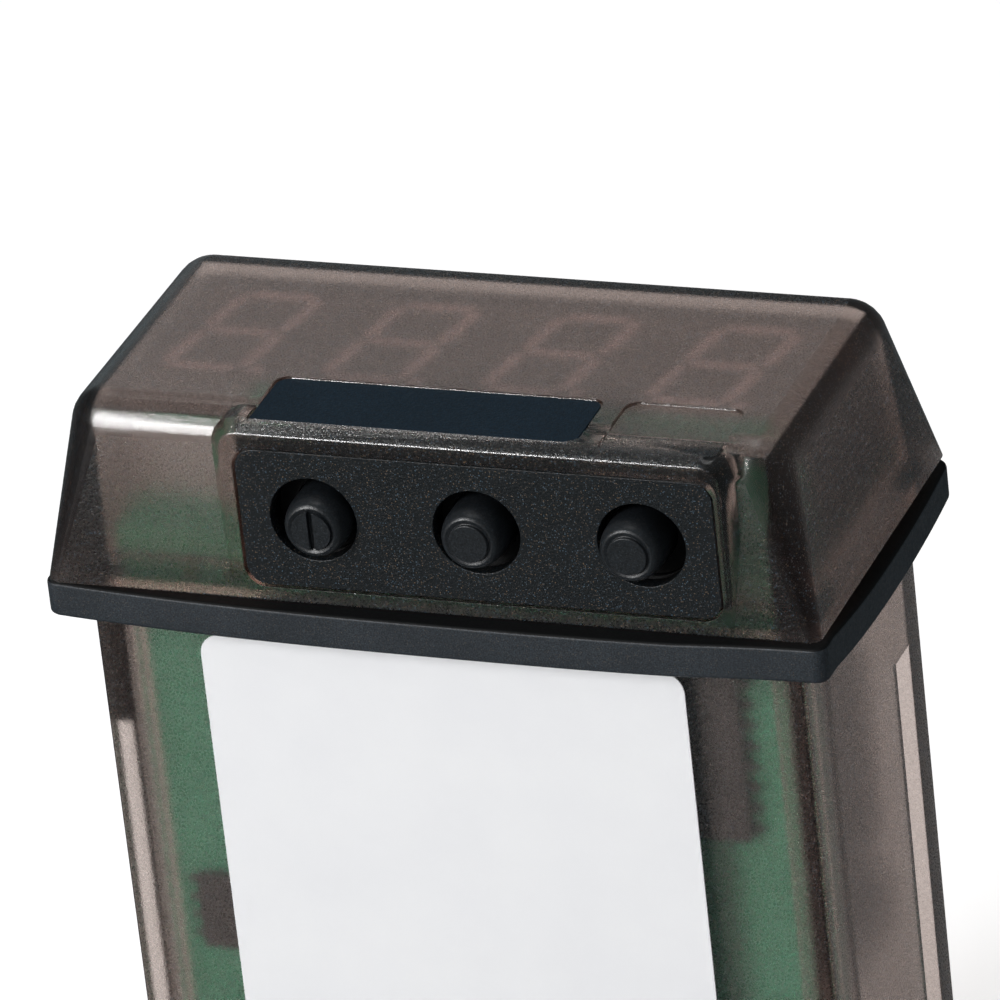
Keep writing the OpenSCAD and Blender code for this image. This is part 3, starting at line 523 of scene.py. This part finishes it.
# Case: the moulding with its small edges softened, rough where the mould was eroded
caseLook = {
    "edge": 0.08,            # mm, as all lengths here
    "edgeSteps": 2,
    "edgeProfile": 0.6,
    "sharpFrom": 28,         # degrees
    "flatTo": 0.5,           # degrees
    "shortest": 0.03,        # below this an edge is closed up
    "near": 0.02,            # within this a point counts as lying on a face
    "padFrom": 0.3,          # above the panel, the foot of the pad's rounded edges
    "bodyTo": 0.5,           # above the panel, the top of the body's rounded edges
    "rimsFrom": 1.1,         # behind the pad's face, the first rim of a recess
    "sharpBeyond": 0.3,      # right of the plate, where the pad's edge stays sharp
    "seatReach": 0.05,       # in front of the seat's floor
    "seatDepth": 1.3,        # behind the plate, down to the bottom of the wells
    "edgeGrain": 0.6,        # grain on the rounded edges, against 1 on the flats
    "flatArea": 12,          # square mm
    "lookFrom": 0.02,        # above a face, where the look outwards begins
    "lookTo": 100.0,
}
sharpShading = 35            # degrees between faces that stay crisp


def cleanCopy(nodeName, look):
    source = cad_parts[nodeName]
    shape = bmesh.new()
    shape.from_mesh(source.data)
    bmesh.ops.remove_doubles(shape, verts=shape.verts, dist=weldWithin)
    bmesh.ops.dissolve_limit(shape, angle_limit=math.radians(look["flatTo"]),
                             verts=shape.verts, edges=shape.edges)
    bmesh.ops.remove_doubles(shape, verts=shape.verts, dist=look["shortest"] * mm)
    return shape


def softenEdges(shape, look):
    # The pad's face, the rims of the front's recesses, and the body.
    # The pad's face lies in one plane with the gasket's front edge.
    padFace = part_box("panel_gasket")[0].y
    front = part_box("case")[1].z
    near = look["near"] * mm
    padFoot = look["padFrom"] * mm
    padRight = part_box("keypad_plate")[1].x + look["sharpBeyond"] * mm
    rims = padFace + look["rimsFrom"] * mm

    def chosen(edge):
        ends = [v.co for v in edge.verts]
        onPad = all(abs(p.y - padFace) < near and p.z > padFoot and p.x < padRight for p in ends)
        onFront = all(abs(p.z - front) < near and p.y > rims for p in ends)
        onBody = all(p.z < look["bodyTo"] * mm for p in ends)
        return onPad or onFront or onBody

    limit = math.radians(look["sharpFrom"])
    sharp = [e for e in shape.edges if e.is_manifold and e.calc_face_angle(0) > limit and chosen(e)]
    bmesh.ops.bevel(shape, geom=sharp, offset=look["edge"] * mm, offset_type="OFFSET",
                    segments=look["edgeSteps"], profile=look["edgeProfile"], affect="EDGES",
                    clamp_overlap=False)


def finishPiece(name, shape, material, body, stoodFor=()):
    mesh = bpy.data.meshes.new(name)
    shape.to_mesh(mesh)
    shape.free()
    mesh.materials.append(material)
    mesh.polygons.foreach_set("use_smooth", [True] * len(mesh.polygons))
    mesh.set_sharp_from_angle(angle=math.radians(sharpShading))
    piece = bpy.data.objects.new(name, mesh)
    bpy.context.scene.collection.objects.link(piece)
    weighted = piece.modifiers.new("evenNormals", "WEIGHTED_NORMAL")
    weighted.keep_sharp = True
    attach(piece, body)
    if stoodFor:
        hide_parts(*stoodFor)
    return piece


def markMouldedFaces(mesh, look):
    # A face whose way out meets the case again lies in a cavity, a slot or a groove, and is smooth.
    # Rounded edges are worn smoother than the flats.
    tree = BVHTree.FromPolygons([v.co for v in mesh.vertices], [p.vertices for p in mesh.polygons])
    layer = mesh.attributes.new("mouldedFace", "FLOAT", "CORNER")
    values = [1.0] * len(mesh.loops)
    for polygon in mesh.polygons:
        start = polygon.center + polygon.normal * look["lookFrom"] * mm
        value = 1.0
        if tree.ray_cast(start, polygon.normal, look["lookTo"] * mm)[0] is not None:
            value = 0.0
        elif polygon.center.z > 0 and polygon.area < look["flatArea"] * mm * mm:
            value = look["edgeGrain"]
        for loop in polygon.loop_indices:
            values[loop] = value
    layer.data.foreach_set("value", values)


def maskKeypadSeat(mesh, look):
    # The floor of the plate's recess and the wells of the buttons are masked black, as painted shade
    low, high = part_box("keypad_plate")
    mesh.materials.append(finishes["paintedShadeBlack"])
    for polygon in mesh.polygons:
        spot = polygon.center
        inside = low.x < spot.x < high.x and low.z < spot.z < high.z
        if inside and high.y - look["seatReach"] * mm < spot.y < high.y + look["seatDepth"] * mm:
            polygon.material_index = 1


def addCase(look):
    shape = cleanCopy("case", look)
    softenEdges(shape, look)
    piece = finishPiece("smokedCase", shape, finishes["smokedCase"], "meter", ["case"])
    markMouldedFaces(piece.data, look)
    maskKeypadSeat(piece.data, look)
    print("case", len(piece.data.polygons), "faces")


addCase(caseLook)


# Gasket: a flat ring under the bezel whose long front strip has sagged away from it
gasketLook = {
    "thickness": 2.25,       # mm, as all lengths here
    "outerRound": 0.8,
    "edge": 0.24,
    "edgeSteps": 3,
    "cornerSteps": 8,
    "spacing": 0.6,
    "clearance": 0.2,        # round the body
    "frontSag": 0.72,
    "frontLean": 0.34,       # how much lower the right end is than the left
    "frontMiddle": 1.02,     # where it sags most, 1 being half-way
    "frontForm": 2.6,        # the higher, the flatter the middle
    "frontFade": 0.7,        # towards the back
    "sideSag": 1.15,
    "sideLeast": 0.42,
    "sideFrom": 15.0,        # from here on the short right side sags as well
    "sideMiddle": 1.0,
    "sideForm": 2.2,
    "sideBeyond": 1.5,       # how far past the corners the side's bow would end
    "innerShare": 0.8,       # of the sag, at the body
    "joined": 0.001,         # corners nearer than this are one
    "paintedShadeFrom": 0.35,        # faces turned up more than this are painted black, as shade under the bezel
}


def ringOutline(halfWide, halfDeep, look):
    # Points round a rounded rectangle, anticlockwise from the front left corner, with outward directions
    points = []
    radius, steps = look["outerRound"], look["cornerSteps"]
    corners = [(-1, -1, 180), (1, -1, 270), (1, 1, 0), (-1, 1, 90)]
    centres = [Vector((sx * (halfWide - radius), sy * (halfDeep - radius))) for sx, sy, _ in corners]
    for index, (_, _, begin) in enumerate(corners):
        for step in range(steps + 1):
            angle = math.radians(begin + 90 * step / steps)
            out = Vector((math.cos(angle), math.sin(angle)))
            points.append((centres[index] + out * radius, out))
        start = centres[index] + out * radius
        end = centres[(index + 1) % 4] + out * radius
        count = max(2, int((end - start).length / look["spacing"]))
        points += [(start.lerp(end, step / count), out) for step in range(1, count)]
    return points


def sagAt(point, halfWide, halfDeep, look):
    # How far the ring has dropped: most in the middle of the front, and again on the right
    along = (point.x + halfWide) / (2 * halfWide)
    bow = max(0.0, 1 - abs(2 * along - look["frontMiddle"]) ** look["frontForm"])
    front = look["frontSag"] * bow + look["frontLean"] * along ** 2
    nearFront = max(0.0, min(1.0, -point.y / halfDeep)) ** look["frontFade"]
    out = abs(point.y - look["sideMiddle"]) / (halfDeep + look["sideBeyond"])
    side = look["sideSag"] * max(0.0, 1 - out ** look["sideForm"])
    nearSide = max(0.0, (point.x - look["sideFrom"]) / (halfWide - look["sideFrom"]))
    return front * nearFront * (1 - nearSide) + nearSide * max(side, look["sideLeast"])


def addGasket(look):
    halfWide, halfDeep = (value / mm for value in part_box("panel_gasket")[1].xy)
    body = [v.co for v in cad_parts["case"].data.vertices if v.co.z < -look["thickness"] * mm]
    bodyWide = max(p.x for p in body) / mm + look["clearance"]
    bodyDeep = max(abs(p.y) for p in body) / mm + look["clearance"]
    edge, thick = look["edge"], look["thickness"]
    turns = [math.radians(90 * step / look["edgeSteps"]) for step in range(look["edgeSteps"] + 1)]
    rounding = [(-edge + edge * math.sin(turn), -edge + edge * math.cos(turn)) for turn in turns]
    rows = rounding + [(inset, -thick - height) for inset, height in reversed(rounding)]
    shape = bmesh.new()
    columns = []
    for point, out in ringOutline(halfWide, halfDeep, look):
        sag = sagAt(point, halfWide, halfDeep, look)
        spots = [(point + out * inset, height - sag) for inset, height in rows]
        inside = Vector((max(-bodyWide, min(bodyWide, point.x)), max(-bodyDeep, min(bodyDeep, point.y))))
        sag = look["innerShare"] * sagAt(inside, halfWide, halfDeep, look)
        spots += [(inside, -thick - sag), (inside, -sag)]
        columns.append([shape.verts.new((spot.x * mm, spot.y * mm, height * mm)) for spot, height in spots])
    for index, column in enumerate(columns):
        following = columns[(index + 1) % len(columns)]
        for row in range(len(column)):
            up = (row + 1) % len(column)
            shape.faces.new((column[row], column[up], following[up], following[row]))
    bmesh.ops.remove_doubles(shape, verts=shape.verts, dist=look["joined"] * mm)
    bmesh.ops.recalc_face_normals(shape, faces=shape.faces)
    piece = finishPiece("bowedGasket", shape, finishes["gasketRubber"], "meter",
                        ["panel_gasket"])
    # The top faces get black as painted shade of the bezel
    piece.data.materials.append(finishes["paintedShadeBlack"])
    for polygon in piece.data.polygons:
        if polygon.normal.z > look["paintedShadeFrom"]:
            polygon.material_index = 1


addGasket(gasketLook)
print("gasket laid")


# Rigid pieces that keep their own form get softened edges, with widths in mm
edgeLook = {
    "flatTo": 1.0,           # degrees
    "sharpFrom": 32,         # degrees
    "steps": 2,
}
edgeWidths = {
    "keypad_plate": 0.14, "button_1": 0.06, "button_2": 0.06, "button_3": 0.06,
    "name_plate": 0.04, "rating_label": 0.03, "display_housing": 0.06, "display_board": 0.08,
    "main_board": 0.08, "interface_chip": 0.05, "processor_chip": 0.05, "small_chips": 0.04,
    "switch_1": 0.1, "switch_2": 0.1, "switch_3": 0.1, "terminal_block": 0.12, "rear_cover": 0.15,
    "relay_1": 0.25, "relay_2": 0.25, "transformer_core": 0.15, "transformer_winding": 0.3,
    "filter_capacitors": 0.3, "wire_clamps": 0.1, "clamp_screws": 0.12, "link_header": 0.06,
}


def roundOff(node, width, look):
    weld = node.modifiers.new("weld", "WELD")
    weld.merge_threshold = weldWithin
    flat = node.modifiers.new("joinFlats", "DECIMATE")
    flat.decimate_type = "DISSOLVE"
    flat.angle_limit = math.radians(look["flatTo"])
    bevel = node.modifiers.new("softEdges", "BEVEL")
    bevel.width = width * mm
    bevel.segments = look["steps"]
    bevel.limit_method = "ANGLE"
    bevel.angle_limit = math.radians(look["sharpFrom"])
    smooth = node.modifiers.new("evenNormals", "WEIGHTED_NORMAL")
    smooth.keep_sharp = False


for nodeName, width in edgeWidths.items():
    roundOff(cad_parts[nodeName], width, edgeLook)
print("edges softened")
